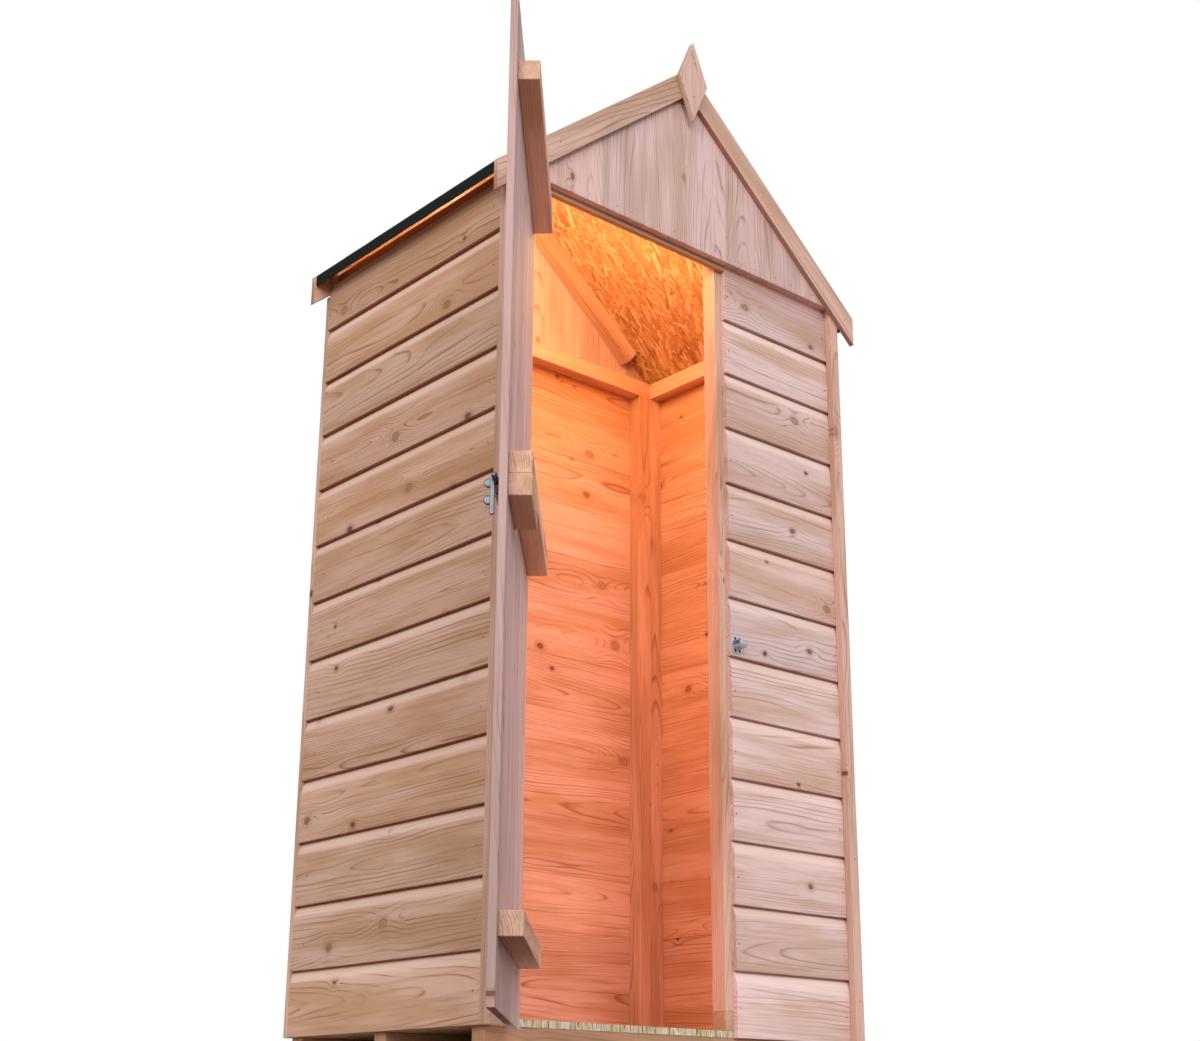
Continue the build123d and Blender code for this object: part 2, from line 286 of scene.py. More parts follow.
def wood(name, light, dark, grey, ring=0.0048, ring_amt=0.6, knots=0.5, knot_size=0.006,
         rough=0.68, bump=0.25, saw=0.0, tone_amt=0.07):
    T = Tree(name)
    P = T.attr("wc")
    tn = T.attr("tone")
    t1, t2, t3 = T.split(tn)
    a, b, c = T.split(P)
    # slow wander of the grain
    W1 = T.noise(T.scale(P, (2.3, 9.0, 9.0)), 1.0, 2.0, 0.45)
    W2 = T.noise(T.scale(P, (5.0, 26.0, 26.0)), 1.0, 1.0, 0.4)
    r = T.m("SQRT", T.m("ADD", T.m("MULTIPLY", b, b), T.m("MULTIPLY", c, c)))
    r = T.m("ADD", r, T.m("MULTIPLY", T.m("SUBTRACT", W1, 0.5), 0.034))
    r = T.m("ADD", r, T.m("MULTIPLY", T.m("SUBTRACT", W2, 0.5), 0.0022))
    # lean years and fat years
    yr = T.noise(T.join(T.m("MULTIPLY", r, 75.0), T.m("MULTIPLY", t3, 40.0), 0.0), 1.0, 1.0, 0.5)
    r = T.m("ADD", r, T.m("MULTIPLY", T.m("SUBTRACT", yr, 0.5), 0.010))
    # knots: sparse points on the face plane
    K = T.join(T.m("MULTIPLY", a, 5.2), T.m("MULTIPLY", b, 7.0), T.m("MULTIPLY", t3, 37.0))
    vo = T.node("ShaderNodeTexVoronoi", voronoi_dimensions="3D", feature="F1")
    T.put(vo.inputs["Vector"], K)
    vo.inputs["Scale"].default_value = 1.0
    flat = T.join(T.m("MULTIPLY", a, 5.2), T.m("MULTIPLY", b, 7.0), 0.0)
    px, py, _ = T.split(vo.outputs["Position"])
    dx = T.m("DIVIDE", T.m("SUBTRACT", T.m("MULTIPLY", a, 5.2), px), 5.2 * 1.35)
    dy = T.m("DIVIDE", T.m("SUBTRACT", T.m("MULTIPLY", b, 7.0), py), 7.0)
    wob = T.noise(T.scale(P, (60.0, 90.0, 60.0)), 1.0, 1.0, 0.5)
    d = T.m("SQRT", T.m("ADD", T.m("MULTIPLY", dx, dx), T.m("MULTIPLY", dy, dy)))
    d = T.m("ADD", d, T.m("MULTIPLY", T.m("SUBTRACT", wob, 0.5), 0.0035))
    k1, k2, k3 = T.split(vo.outputs["Color"])
    on = T.m("GREATER_THAN", k1, 1.0 - knots)
    R = T.m("MULTIPLY", T.m("ADD", T.m("MULTIPLY", T.m("MULTIPLY", k2, k2), 1.15), 0.50), knot_size)
    q = T.m("DIVIDE", d, R)
    core = T.m("MULTIPLY", T.m("SUBTRACT", 1.0, T.smooth(q, 0.75, 1.15)), on)
    halo = T.m("MULTIPLY", T.m("SUBTRACT", 1.0, T.smooth(q, 0.9, 2.8)), on)
    # the grain parts round a knot
    bulge = T.m("MULTIPLY", T.m("EXPONENT", T.m("MULTIPLY", T.m("MULTIPLY", q, q), -0.07)), on)
    r = T.m("ADD", r, T.m("MULTIPLY", T.m("MULTIPLY", bulge, R), 1.6))
    sp = T.m("ADD", ring * 0.75, T.m("MULTIPLY", t2, ring * 0.6))
    ph = T.m("FRACT", T.m("DIVIDE", r, sp))
    line = T.ramp(ph, [(0.0, 0.02), (0.30, 0.0), (0.64, 0.08), (0.83, 0.50), (0.92, 1.0), (0.99, 0.0)], "B_SPLINE")
    vary = T.smooth(T.noise(T.scale(P, (1.8, 34.0, 34.0)), 1.0, 2.0, 0.6), 0.34, 0.66)
    line = T.m("MULTIPLY", line, T.m("ADD", 0.22, T.m("MULTIPLY", vary, 0.95)))
    fib = T.noise(T.scale(P, (14.0, 900.0, 900.0)), 1.0, 3.0, 0.6)
    fib2 = T.noise(T.scale(P, (3.0, 160.0, 160.0)), 1.0, 2.0, 0.55)
    f1 = T.smooth(line, 0.05, 0.95)
    cloud = T.noise(T.scale(P, (2.0, 15.0, 15.0)), 1.0, 3.0, 0.6)
    base = T.mix(T.smooth(cloud, 0.40, 0.64), light, grey)
    streak = T.smooth(fib2, 0.48, 0.70)
    base = T.mix(T.m("MULTIPLY", streak, 0.34), base, T.mix(0.55, grey, dark))
    base = T.mix(T.m("MULTIPLY", f1, ring_amt, clamp=True), base, dark)
    base = T.mix(T.m("MULTIPLY", T.m("SUBTRACT", fib, 0.5), 0.8, clamp=True), base, dark)
    # board to board
    lum = T.m("ADD", 1.0 - tone_amt, T.m("MULTIPLY", t1, 2.0 * tone_amt))
    base = T.mix(1.0, base, T.join(lum, T.m("ADD", T.m("MULTIPLY", lum, 0.96), T.m("MULTIPLY", t2, 0.04)),
                                   T.m("ADD", T.m("MULTIPLY", lum, 0.93), T.m("MULTIPLY", t2, 0.07))), "MULTIPLY")
    # knots last
    rim = T.m("MULTIPLY", T.m("MULTIPLY", T.smooth(q, 0.55, 0.95), core), 1.0)
    kring = T.m("FRACT", T.m("MULTIPLY", d, 900.0))
    kc = T.mix(T.m("MULTIPLY", kring, 0.4), lin(118, 74, 48), lin(72, 40, 24))
    kc = T.mix(rim, kc, lin(48, 26, 15))
    sound = T.smooth(k2, 0.62, 0.90)       # large knots are pale and ringed
    ringed = T.mix(T.smooth(T.m("FRACT", T.m("MULTIPLY", d, 260.0)), 0.35, 0.85), lin(190, 148, 114), lin(132, 90, 60))
    ringed = T.mix(T.m("MULTIPLY", T.smooth(q, 0.78, 1.0), 0.8), ringed, lin(108, 68, 44))
    kc = T.mix(sound, kc, ringed)
    base = T.mix(T.m("MULTIPLY", halo, T.m("SUBTRACT", 0.42, T.m("MULTIPLY", sound, 0.26))), base, lin(150, 100, 70))
    base = T.mix(T.m("MULTIPLY", core, 0.88), base, kc)
    # painted light from the mesh: below zero paints a highlight, above zero paints shade
    dn = T.node("ShaderNodeAttribute", attribute_name="painted_light").outputs["Fac"]
    pale = T.m("MAXIMUM", T.m("MULTIPLY", dn, -1.0), 0.0)      # painted highlight: the upward-facing cove under each groove made paler
    base = T.mix(T.m("MULTIPLY", pale, 0.58), base, lin(246, 218, 205))
    # painted shade: brown laid into the grooves, onto the side rails' outer faces and the bargeboards' lower edges; the
    # door's free edge is darkened the same way
    base = T.mix(T.m("MULTIPLY", T.m("MAXIMUM", dn, 0.0), 0.72), base, lin(140, 70, 38))
    T.put(T.bsdf.inputs["Base Color"], base)
    rg = T.m("ADD", rough - 0.05, T.m("MULTIPLY", fib, 0.14))
    rg = T.m("SUBTRACT", rg, T.m("MULTIPLY", core, 0.18))
    T.put(T.bsdf.inputs["Roughness"], rg)
    T.bsdf.inputs["Specular IOR Level"].default_value = 0.28
    h = T.m("MULTIPLY", T.noise(T.scale(P, (9.0, 520.0, 520.0)), 1.0, 2.0, 0.6), 1.0)
    if saw:
        sw = T.noise(T.scale(P, (420.0, 26.0, 26.0)), 1.0, 1.0, 0.5)
        h = T.m("ADD", h, T.m("MULTIPLY", sw, saw))
    bp = T.node("ShaderNodeBump")
    bp.inputs["Strength"].default_value = bump
    bp.inputs["Distance"].default_value = 0.0008
    T.put(bp.inputs["Height"], h)
    T.t.links.new(bp.outputs[0], T.bsdf.inputs["Normal"])
    return T.mat


def strand_board(name):
    T = Tree(name)
    P = T.attr("wc")
    a, b, c = T.split(P)
    warp = T.noise(T.scale(P, (16, 16, 100)), 1.0, 1.0)
    a = T.m("ADD", a, T.m("MULTIPLY", warp, 0.006))
    col = T.mix(T.noise(T.scale(P, (30, 30, 300)), 1.0, 2.0), lin(136, 84, 50), lin(178, 124, 80))
    hsum = None
    tones = [lin(220, 176, 126), lin(204, 154, 106), lin(232, 196, 148), lin(186, 132, 86), lin(212, 166, 116)]
    # (angle, cells a metre along and across, share kept, square-ended flake)
    for i, (deg, sa, sb, keep, square) in enumerate(((3, 15, 150, 0.96, 0), (24, 17, 185, 0.62, 0), (160, 17, 130, 0.52, 1),
                                                     (62, 20, 130, 0.26, 1), (14, 16, 145, 0.50, 1), (141, 20, 140, 0.26, 1),
                                                     (172, 16, 190, 0.46, 0), (6, 14, 115, 0.34, 1), (38, 17, 100, 0.20, 1),
                                                     (112, 20, 100, 0.12, 1), (26, 14, 84, 0.16, 1), (8, 12, 62, 0.14, 1),
                                                     (17, 13, 70, 0.12, 1))):
        th = math.radians(deg)
        ra = T.m("ADD", T.m("MULTIPLY", a, math.cos(th) * sa), T.m("MULTIPLY", b, math.sin(th) * sa))
        rb = T.m("ADD", T.m("MULTIPLY", a, -math.sin(th) * sb), T.m("MULTIPLY", b, math.cos(th) * sb))
        v = T.join(T.m("ADD", ra, 3.7 * i), T.m("ADD", rb, 9.1 * i), 0.37 + 5.0 * i)
        vo = T.node("ShaderNodeTexVoronoi", voronoi_dimensions="3D", feature="F1", distance="CHEBYCHEV" if square else "EUCLIDEAN")
        vo.inputs["Randomness"].default_value = 1.0
        vo.inputs["Scale"].default_value = 1.0
        T.put(vo.inputs["Vector"], v)
        r1, r2, r3 = T.split(vo.outputs["Color"])
        dist = vo.outputs["Distance"]
        far = 0.42 if square else 0.56
        on = T.m("MULTIPLY", T.m("LESS_THAN", r1, keep), T.m("LESS_THAN", dist, far))
        edge = T.smooth(dist, far * 0.72 if square else 0.30, far)
        grain = T.noise(T.join(T.m("MULTIPLY", ra, 1.6), T.m("MULTIPLY", rb, 9.0), c), 1.0, 2.0, 0.6)
        tint = T.mix(r2, tones[i % 5], tones[(i + 2) % 5])
        tint = T.mix(T.m("MULTIPLY", T.smooth(grain, 0.45, 0.72), 0.45), tint, lin(158, 102, 62))
        tint = T.mix(T.m("MULTIPLY", edge, T.m("ADD", 0.12, T.m("MULTIPLY", r3, 0.52))), tint, lin(120, 70, 38))
        col = T.mix(on, col, tint)
        if i in (2, 4, 7):
            h = T.m("MULTIPLY", T.m("SUBTRACT", r3, edge), on)
            hsum = h if hsum is None else T.m("ADD", hsum, h)
    # fine dark flecks between the flakes, in patches
    fleck = T.noise(T.join(T.m("MULTIPLY", a, 120.0), T.m("MULTIPLY", b, 420.0), c), 1.0, 2.0, 0.7)
    patch = T.smooth(T.noise(T.scale(P, (14, 26, 20)), 1.0, 2.0), 0.40, 0.62)
    col = T.mix(T.m("MULTIPLY", T.m("MULTIPLY", T.smooth(fleck, 0.56, 0.66), patch), 0.62), col, lin(124, 70, 36))
    T.put(T.bsdf.inputs["Base Color"], col)
    T.put(T.bsdf.inputs["Roughness"], T.m("ADD", 0.55, T.m("MULTIPLY", T.noise(P, 60.0, 1.0), 0.25)))
    T.bsdf.inputs["Specular IOR Level"].default_value = 0.3
    bp = T.node("ShaderNodeBump")
    bp.inputs["Strength"].default_value = 0.6
    bp.inputs["Distance"].default_value = 0.0008
    T.put(bp.inputs["Height"], hsum)
    T.t.links.new(bp.outputs[0], T.bsdf.inputs["Normal"])
    return T.mat


def cut_edge(name):
    """The sawn edge of strand board: pale and dark strand ends."""
    T = Tree(name)
    a, b, c = T.split(T.attr("wc"))
    n1 = T.noise(T.join(T.m("MULTIPLY", a, 210.0), 0.0, T.m("MULTIPLY", c, 22.0)), 1.0, 2.0, 0.65)
    n2 = T.noise(T.join(T.m("MULTIPLY", a, 90.0), 4.0, T.m("MULTIPLY", c, 30.0)), 1.0, 2.0, 0.6)
    n3 = T.noise(T.join(T.m("MULTIPLY", a, 420.0), 8.0, T.m("MULTIPLY", c, 60.0)), 1.0, 1.0, 0.6)
    col = T.mix(T.smooth(n2, 0.40, 0.62), lin(214, 206, 188), lin(196, 178, 132))
    col = T.mix(T.smooth(n1, 0.50, 0.64), col, lin(112, 98, 70))
    col = T.mix(T.m("MULTIPLY", T.smooth(n3, 0.54, 0.70), 0.8), col, lin(226, 222, 214))
    T.put(T.bsdf.inputs["Base Color"], col)
    T.bsdf.inputs["Roughness"].default_value = 0.8
    T.bsdf.inputs["Specular IOR Level"].default_value = 0.2
    bp = T.node("ShaderNodeBump")
    bp.inputs["Strength"].default_value = 0.5
    bp.inputs["Distance"].default_value = 0.0006
    T.put(bp.inputs["Height"], n1)
    T.t.links.new(bp.outputs[0], T.bsdf.inputs["Normal"])
    return T.mat


def felt_mat(name):
    T = Tree(name)
    tc = T.node("ShaderNodeTexCoord").outputs["Object"]
    g1 = T.noise(tc, 900.0, 2.0, 0.7)
    g2 = T.noise(tc, 7.0, 3.0, 0.6)
    vo = T.node("ShaderNodeTexVoronoi", feature="F1")
    vo.inputs["Scale"].default_value = 620.0
    T.put(vo.inputs["Vector"], tc)
    r1, r2, r3 = T.split(vo.outputs["Color"])
    spark = T.m("GREATER_THAN", r1, 0.93)
    col = T.mix(T.smooth(g1, 0.35, 0.7), lin(7, 9, 11), lin(21, 25, 27))
    col = T.mix(T.m("MULTIPLY", T.smooth(g2, 0.45, 0.7), 0.5), col, lin(14, 20, 21))
    col = T.mix(T.m("MULTIPLY", spark, 0.34), col, lin(80, 88, 90))
    T.put(T.bsdf.inputs["Base Color"], col)
    T.put(T.bsdf.inputs["Roughness"], T.m("ADD", 0.78, T.m("MULTIPLY", g1, 0.18)))
    T.bsdf.inputs["Specular IOR Level"].default_value = 0.25
    bp = T.node("ShaderNodeBump")
    bp.inputs["Strength"].default_value = 0.7
    bp.inputs["Distance"].default_value = 0.0007
    T.put(bp.inputs["Height"], T.m("ADD", g1, T.m("MULTIPLY", r2, 0.8)))
    T.t.links.new(bp.outputs[0], T.bsdf.inputs["Normal"])
    return T.mat


def zinc_mat(name, tint=(150, 158, 164), metal=0.85):
    T = Tree(name)
    tc = T.node("ShaderNodeTexCoord").outputs["Object"]
    n1 = T.noise(tc, 120.0, 3.0, 0.6)
    n2 = T.noise(T.scale(tc, (900.0, 900.0, 60.0)), 1.0, 2.0, 0.6)
    wear = T.smooth(T.noise(tc, 60.0, 4.0, 0.7), 0.55, 0.72)
    col = T.mix(n1, lin(*tint), lin(*(int(c * 0.78) for c in tint)))
    col = T.mix(T.m("MULTIPLY", wear, 0.6), col, lin(108, 104, 98))
    T.put(T.bsdf.inputs["Base Color"], col)
    T.bsdf.inputs["Metallic"].default_value = metal
    T.put(T.bsdf.inputs["Roughness"], T.m("ADD", T.m("ADD", 0.30, T.m("MULTIPLY", n2, 0.18)), T.m("MULTIPLY", wear, 0.2)))
    bp = T.node("ShaderNodeBump")
    bp.inputs["Strength"].default_value = 0.25
    bp.inputs["Distance"].default_value = 0.0003
    T.put(bp.inputs["Height"], T.m("ADD", n1, n2))
    T.t.links.new(bp.outputs[0], T.bsdf.inputs["Normal"])
    return T.mat


DARK = lin(150, 96, 64)
M_WALL = wood("shiplap_wood", lin(222, 186, 166), DARK, lin(202, 160, 128), ring=0.0056, ring_amt=0.80, knots=0.52, knot_size=0.0064)
# the front wall's boards: a paler, pinker copy of the side-wall wood, painted light for the lit front face
M_FRONT_LIT_COPY = wood("front_shiplap_wood_lit_copy", lin(236, 208, 204), lin(158, 108, 84), lin(214, 178, 160), ring=0.0056, ring_amt=0.68, knots=0.40, knot_size=0.0050)
M_GABLE = wood("gable_board_wood", lin(220, 189, 185), lin(150, 106, 84), lin(196, 166, 154), ring=0.0050, ring_amt=0.70, knots=0.52, knot_size=0.0048)
M_DOOR = wood("door_board_wood", lin(216, 191, 190), lin(158, 118, 102), lin(192, 172, 170), ring=0.0046, ring_amt=0.55, knots=0.25, knot_size=0.0045)
M_TRIM = wood("trim_wood", lin(220, 184, 170), lin(146, 98, 72), lin(194, 158, 136), ring=0.0046, ring_amt=0.78, knots=0.60, knot_size=0.0052)
M_FRAME = wood("framing_wood", lin(226, 188, 168), lin(152, 102, 74), lin(200, 160, 132), ring=0.0042, ring_amt=0.76, knots=0.50, knot_size=0.0048, rough=0.74, bump=0.4, saw=0.5)
M_BASE = wood("bearer_wood", lin(196, 150, 118), lin(130, 88, 60), lin(160, 130, 104), ring=0.0046, ring_amt=0.7, knots=0.4, knot_size=0.006, rough=0.8, bump=0.5, saw=0.8)
M_OSB = strand_board("strand_board")
M_EDGE = cut_edge("strand_board_edge")
M_FELT = felt_mat("mineral_felt")
M_ZINC = zinc_mat("zinc_steel", (172, 178, 190))
# lit and shaded copies of the zinc: the keep's paler as painted highlight, the bolt's darker as painted shade
M_ZINC_LIT_COPY = zinc_mat("zinc_painted_highlight", (214, 220, 234), 0.60)
M_ZINC_SHADED_COPY = zinc_mat("zinc_painted_shade", (122, 128, 138))
M_SCREW = zinc_mat("screw_steel", (64, 66, 72))
M_NAIL = zinc_mat("nail_steel", (128, 122, 116))


# ---------------------------------------------------------- cladded walls
def cove():
    pts = []
    for i in range(9):
        t = i / 8.0
        pts.append((116.2 - 31.0 * t, 3.6 + 8.4 * (1.0 - (1.0 - t) ** 2)))
    return pts


FULL = [(0.0, 0.6), (0.6, 0.0), (117.4, 0.0), (118.0, 0.6), (118.0, 11.0), (117.0, 12.0), (1.0, 12.0), (0.3, 11.7), (0.0, 11.2)]
SHIP = [(0.0, 0.6), (0.6, 0.0), (117.4, 0.0), (118.0, 0.6), (118.0, 3.4)] + cove() + [(1.0, 12.0), (0.3, 11.7), (0.0, 11.2)]


def clip_low(prof, z):
    return clip(prof, lambda p: p[0] - z)


def clip(prof, f):
    out = []
    for i in range(len(prof)):
        p, q = prof[i - 1], prof[i]
        a, b = f(p), f(q)
        if (a >= 0) != (b >= 0):
            t = a / (a - b)
            out.append((p[0] + (q[0] - p[0]) * t, p[1] + (q[1] - p[1]) * t))
        if b >= 0:
            out.append(q)
    return out


def shiplap_wall(name, node, place, s0, s1, z0, z1, seed, mat, full_top=False, groove_shade=1.0, notch=None):
    M = Mesh()
    rnd = random.Random(seed)
    for k in range(13):
        zb = 44.0 + 118.0 * k
        prof = list(FULL if full_top and k == 12 else SHIP)
        if zb < z0:
            prof = clip(prof, lambda p: p[0] - (z0 - zb))
        if zb + 118.0 > z1:
            prof = clip(prof, lambda p: (z1 - zb) - p[0])
        if len(prof) < 3:
            continue
        g = Grain(rnd)
        parts = [(prof, s0, s1)]
        if notch and zb + 118.0 > notch[0]:
            # the top board is cut down between the side rails
            h = notch[0] - zb
            parts = [(clip(prof, lambda p: h - p[0]), s0, s1), (clip(prof, lambda p: p[0] - h), -notch[1], notch[1])]
        for prof, e0, e1 in parts:
            # painted shade on each board's lower lip and tongue top where the lap is in shade, painted highlight on the
            # cove below; the front wall gets a weaker groove shade
            prism(M, prof, e0, e1, lambda s, u, v, zb=zb: place(s, v, zb + u), g,
                  cham=0.5, n=10, wave=0.5, seed=seed + k,
                  painted_light=lambda u, v: groove_shade if (u < 0.5 or u > 116.0) and v > 0.1 else (-min(1.0, max(0.0, (u - 92.5) / 8.0)) if v > 3.0 and not (full_top and k == 12) else 0.0))
    return M.build(name, mat, "shed", (node,), sharp=25.0)


shiplap_wall("left_wall_boards", "wall_boards_left", lambda s, n, z: (-438.0 - n, s, z), YF, YB, 44, 1559, 11, M_WALL)
shiplap_wall("right_wall_boards", "wall_boards_right", lambda s, n, z: (438.0 + n, s, z), YF, YB, 44, 1559, 31, M_WALL)
shiplap_wall("back_wall_boards", "wall_boards_back", lambda s, n, z: (s, 264.0 + n, z), -438, 438, 56, 1576, 52, M_WALL, notch=(1539.0, 404.0))
shiplap_wall("front_wall_boards", "wall_boards_front", lambda s, n, z: (s, YF - n, z), 122, 450, 44, 1578, 77, M_FRONT_LIT_COPY, full_top=True, groove_shade=0.62)

M = Mesh()
g = Grain(random.Random(5))
hp = [(1568.0, 0.5), (1568.5, 0.0), (1602, 0), (1602, 5), (1590, 6.2), (1583, 9.0), (1578.5, 12.0), (1569.0, 12.0), (1568.0, 11.2)]
prism(M, hp, -427.0, 122.0, lambda s, u, v: (s, YF - v, u), g, cham=0.5, n=8, gmap=lambda s, u, v: g.at(s, u - 1550, v))
M.build("doorway_head_strip", M_WALL, "shed", ("header_strip",))


# ---------------------------------------------------------------- timbers
def box_mm(node):
    a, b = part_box(node)
    return [c * 1000.0 for c in a], [c * 1000.0 for c in b]


def timber(node, name, axis, mat, seed, cham=1.1, n=6, wave=0.3, split=None, body="shed"):
    """Bevelled timbers filling a node's box, grain along axis; split cuts it across."""
    a, b = box_mm(node)
    M = Mesh()
    rnd = random.Random(seed)
    u_ax, v_ax = [i for i in range(3) if i != axis]
    parts = [(a, b)]
    if split is not None:
        ax, at = split
        b1, a1 = list(b), list(a)
        b1[ax] = at - 0.15
        a1[ax] = at + 0.15
        parts = [(a, b1), (a1, b)]
    for i, (p, q) in enumerate(parts):
        g = Grain(rnd, False, q[u_ax] - p[u_ax])

        def place(s, u, v):
            o = [0, 0, 0]
            o[axis], o[u_ax], o[v_ax] = s, u, v
            return tuple(o)

        prism(M, rect(p[u_ax], q[u_ax], p[v_ax], q[v_ax], cham), p[axis], q[axis], place, g,
              cham=cham, n=n, wave=wave, seed=seed + i,
              gmap=lambda s, u, v, g=g, p=p: g.at(s, u - p[u_ax], v - p[v_ax]))
    return M.build(name, mat, body, (node,))


seed = 100
for node, axis in (("bottom_rail_left", 1), ("bottom_rail_right", 1), ("bottom_rail_back", 0),
                   ("bottom_rail_front", 0), ("top_rail_back", 0), ("gable_rail_front", 0), ("post_front_left", 2),
                   ("post_front_right", 2), ("jamb_post", 2)):
    timber(node, node + "_timber", axis, M_FRAME, seed)
    seed += 7


def soften(poly, c):
    """Each corner of a polygon cut back by c."""
    out = []
    for i in range(len(poly)):
        p0, p1, p2 = Vector(poly[i - 1]), Vector(poly[i]), Vector(poly[(i + 1) % len(poly)])
        out += [tuple(p1 + (p0 - p1).normalized() * c), tuple(p1 + (p2 - p1).normalized() * c)]
    return out


# the top of each side rail rises outwards, most of the way up to the roof board
for i, (side, s) in enumerate((("left", -1.0), ("right", 1.0))):
    M = Mesh()
    g = Grain(random.Random(135 + 7 * i), False, 34)
    poly = soften(ccw([(s * 404, 1539), (s * 438, 1539), (s * 438, 1588), (s * 404, 1576)]), 1.1)
    # painted shade on the rail's outer face, which sits in the shadow of the eaves
    prism(M, poly, YF, 276.0, lambda q, u, v: (u, q, v), g, cham=1.1, n=6,
          painted_light=lambda u, v: 1.0 if abs(u) > 430.0 else 0.0,
          gmap=lambda q, u, v, g=g, s=s: g.at(q, s * u - 404.0, v - 1539.0))
    M.build("top_rail_%s_timber" % side, M_FRAME, "shed", ("top_rail_" + side,))
timber("post_back_left", "post_back_left_timbers", 2, M_FRAME, 210, split=(0, -404.0))
timber("post_back_right", "post_back_right_timbers", 2, M_FRAME, 220, split=(0, 404.0))
for i, node in enumerate(("bearer_front", "bearer_middle", "bearer_back")):
    timber(node, node + "_timber", 0, M_BASE, 240 + i, cham=1.5, wave=0.0)
timber("corner_trim_front_right", "corner_trim_front_right_batten", 2, M_TRIM, 260, cham=0.9, n=12)


def two_boxes(name, node, boxes, mat, seed):
    M = Mesh()
    rnd = random.Random(seed)
    for i, (x0, x1, y0, y1, z0, z1) in enumerate(boxes):
        g = Grain(rnd, False, x1 - x0)
        prism(M, rect(x0, x1, y0, y1, 0.9), z0, z1, lambda s, u, v: (u, v, s), g, cham=0.9, n=12,
              wave=0.3, seed=seed + i, gmap=lambda s, u, v, g=g, x0=x0, y0=y0: g.at(s, u - x0, v - y0))
    return M.build(name, mat, "shed", (node,))


two_boxes("corner_trim_front_left_battens", "corner_trim_front_left",
          [(-450, -427, YG, YF - 12.1, 44, 1578), (-450, -427, YF - 12, YF, 44, 1578)], M_TRIM, 270)
for side, s in (("left", -1), ("right", 1)):
    xs = sorted((s * 415.0, s * 438.0))
    xo = sorted((s * 415.0, s * 450.0))
    two_boxes("corner_trim_back_%s_battens" % side, "corner_trim_back_" + side,
              [(xs[0], xs[1], 276.0, 287.3, 56, 1560), (xo[0], xo[1], 287.5, 299.5, 44, 1538)],
              M_TRIM, 280 + s)


# ------------------------------------------------------ gables and battens
def flat_piece(M, poly, y0, y1, g, gmap, cham=0.8, painted_light=None):
    """A board drawn in the XZ plane and extruded along Y."""
    prism(M, poly, y0, y1, lambda s, u, v: (u, s, v), g, cham=cham, gmap=gmap, painted_light=painted_light)


def gable(name, node, y0, y1, zb, seed, boards=8):
    M = Mesh()
    rnd = random.Random(seed)
    w = 900.0 / boards
    for i in range(boards):
        x0, x1 = -450 + i * w, -450 + (i + 1) * w
        g = Grain(rnd, True, w)
        z0, z1 = roof_z(x0, UNDER + 0.2), roof_z(x1, UNDER + 0.2)
        poly = [(x0, zb), (x1, zb), (x1, z1), (x0, z0)]
        flat_piece(M, poly, y0, y1, g, lambda s, u, v, g=g, x0=x0, y0=y0: g.at(v, u - x0, s - y0), 0.9)
    return M.build(name, M_GABLE, "shed", (node,))


gable("gable_front_boards", "gable_boards_front", YG, YF - 12, 1578, 301)
gable("gable_back_boards", "gable_boards_back", 276, 287.5, 1560, 302)

for side, s in (("left", -1.0), ("right", 1.0)):
    M = Mesh()
    g = Grain(random.Random(310 + int(s)), False, 34)
    xa = 372.0
    xb = xa - 34.0 * S40
    zt, zl = roof_z(xa, UNDER + 0.3), roof_z(xa, UNDER) - 34.0 * C40
    poly = ccw([(s * 0.2, roof_z(0, UNDER + 0.3)), (s * xa, zt), (s * xb, zl), (s * 0.2, roof_z(0, UNDER + 34.0 / C40))])
    flat_piece(M, poly, 242.0, 276.0, g, lambda q, u, v, g=g, s=s: g.at(s * u * C40 - v * S40, s * u * S40 + v * C40, q), 1.1)
    M.build("gable_batten_%s_timber" % side, M_FRAME, "shed", ("gable_batten_" + side,))

# ------------------------------------------------------------------- roof
for side, s in (("left", -1.0), ("right", 1.0)):
    M = Mesh()
    g = Grain(random.Random(320 + int(s)), True, 600)
    poly = ccw([(s * 0.1, roof_z(0, FELT_DZ + 0.2)), (s * 482, roof_z(482, FELT_DZ + 0.2)),
                (s * 482, roof_z(482, UNDER)), (s * 0.1, roof_z(0, UNDER))])
    off = 4.0 + s

    def gm(q, u, v, s=s, off=off):
        return ((s * u * C40 - v * S40) * MM + off, q * MM + off, (s * u * S40 + v * C40) * MM)
    flat_piece(M, poly, YG, YB, g, gm, 0.5)
    M.build("roof_board_%s_sheet" % side, M_OSB, "shed", ("roof_board_" + side,))

M = Mesh()
g = Grain(random.Random(331), True, 600)
prism(M, rect(-438, 438, 44, 56, 0.4), YF, YF + 1.6, lambda s, u, v: (u, s, v), g, cham=0.3,
      gmap=lambda s, u, v: (u * MM, s * MM, v * MM))
M.build("floor_board_cut_edge", M_EDGE, "shed")

M = Mesh()
g = Grain(random.Random(330), True, 600)
prism(M, rect(-438, 438, 44, 56, 0.5), YF + 1.6, YB, lambda s, u, v: (u, s, v), g, cham=0.5,
      gmap=lambda s, u, v: (u * MM + 2.0, s * MM + 1.0, v * MM))
M.build("floor_board", M_OSB, "shed", ("floor_sheet",))

